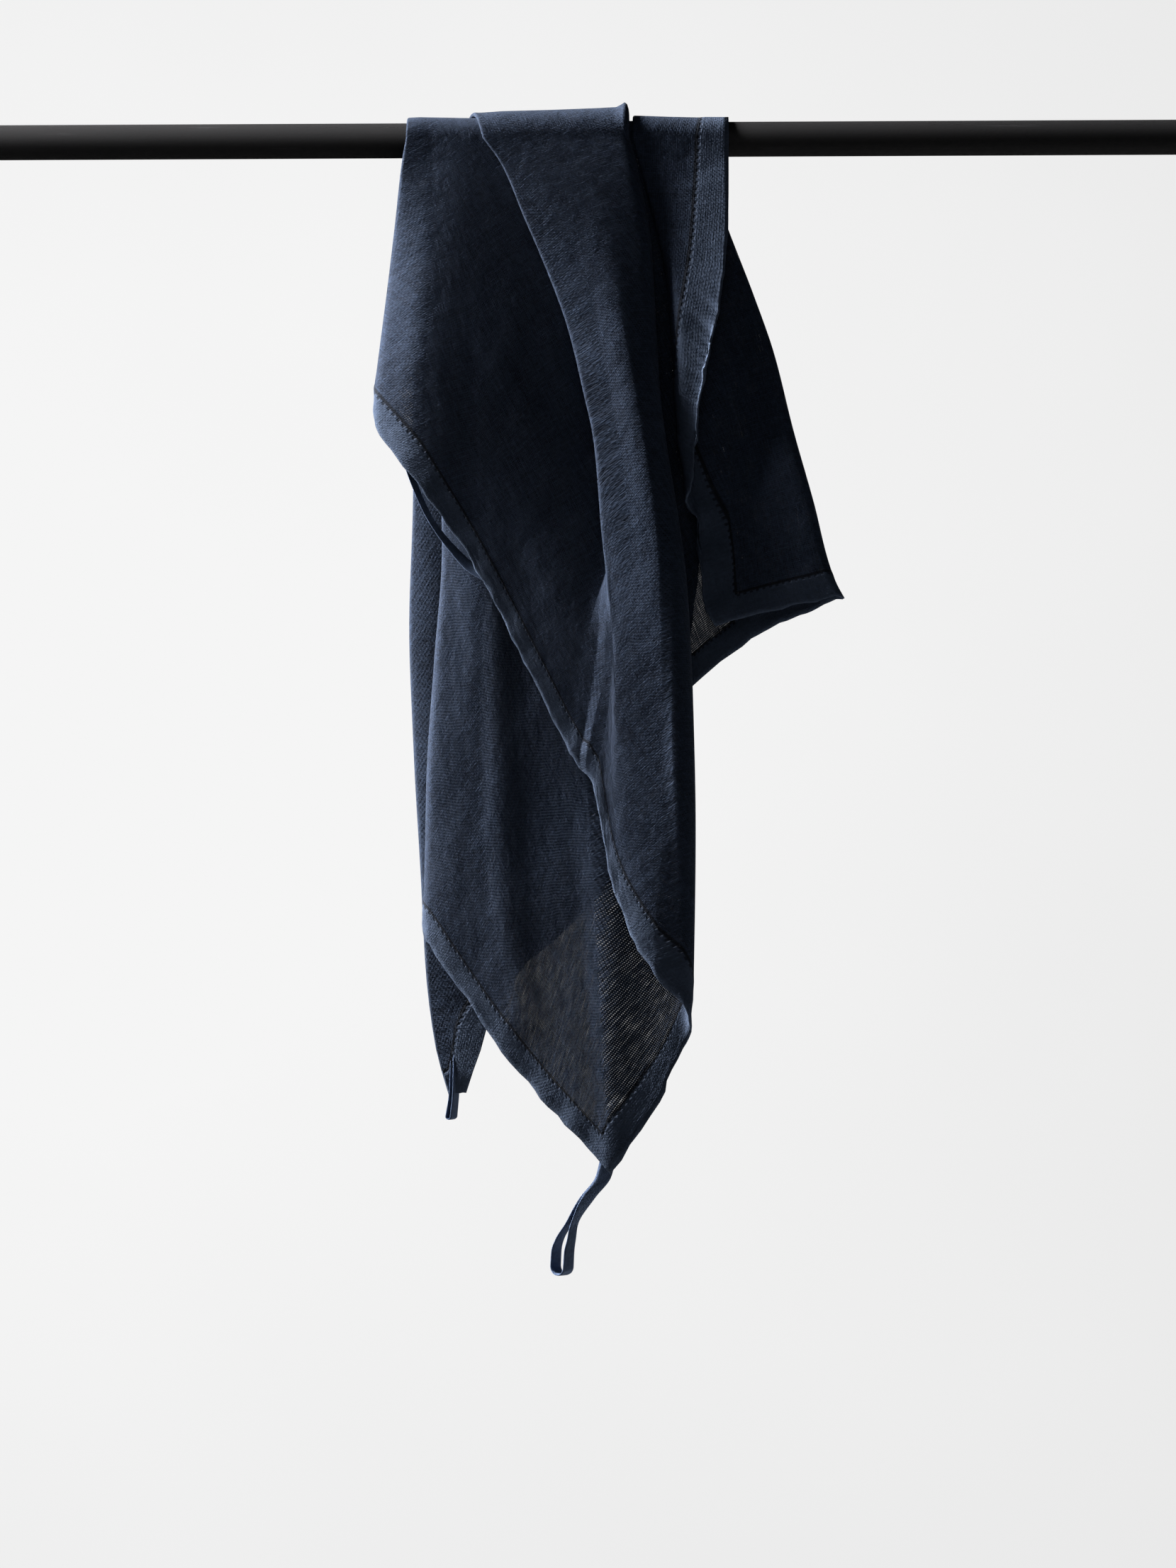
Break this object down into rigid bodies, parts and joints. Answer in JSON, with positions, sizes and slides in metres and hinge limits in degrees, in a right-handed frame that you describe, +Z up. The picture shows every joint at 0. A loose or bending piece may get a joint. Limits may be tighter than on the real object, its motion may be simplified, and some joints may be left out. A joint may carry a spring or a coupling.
{
  "type": "tea towel on a hanging rod",
  "caption": "Linen tea towel thrown over a round hanging rod, folded and pleated as it fell, with hemmed edges, corner loops and a side tape.",
  "frame": {"origin": "centre of the rod's flat left end, seen from the side the towel's front hangs on", "axes": "+X along the rod towards its right end, +Y away from the viewer, +Z up"},
  "size_m": [0.6, 0.0715, 0.5354],
  "materials": {
    "towel": "washed navy linen, plain weave",
    "loop_tape": "folded navy linen tape",
    "rod": "matt black paint"
  },
  "bodies": {
    "root": {"towel": "towel", "first_corner_loop": "loop_tape", "last_corner_loop": "loop_tape", "side_tape": "loop_tape", "rod": "rod"}
  },
  "joints": []
}
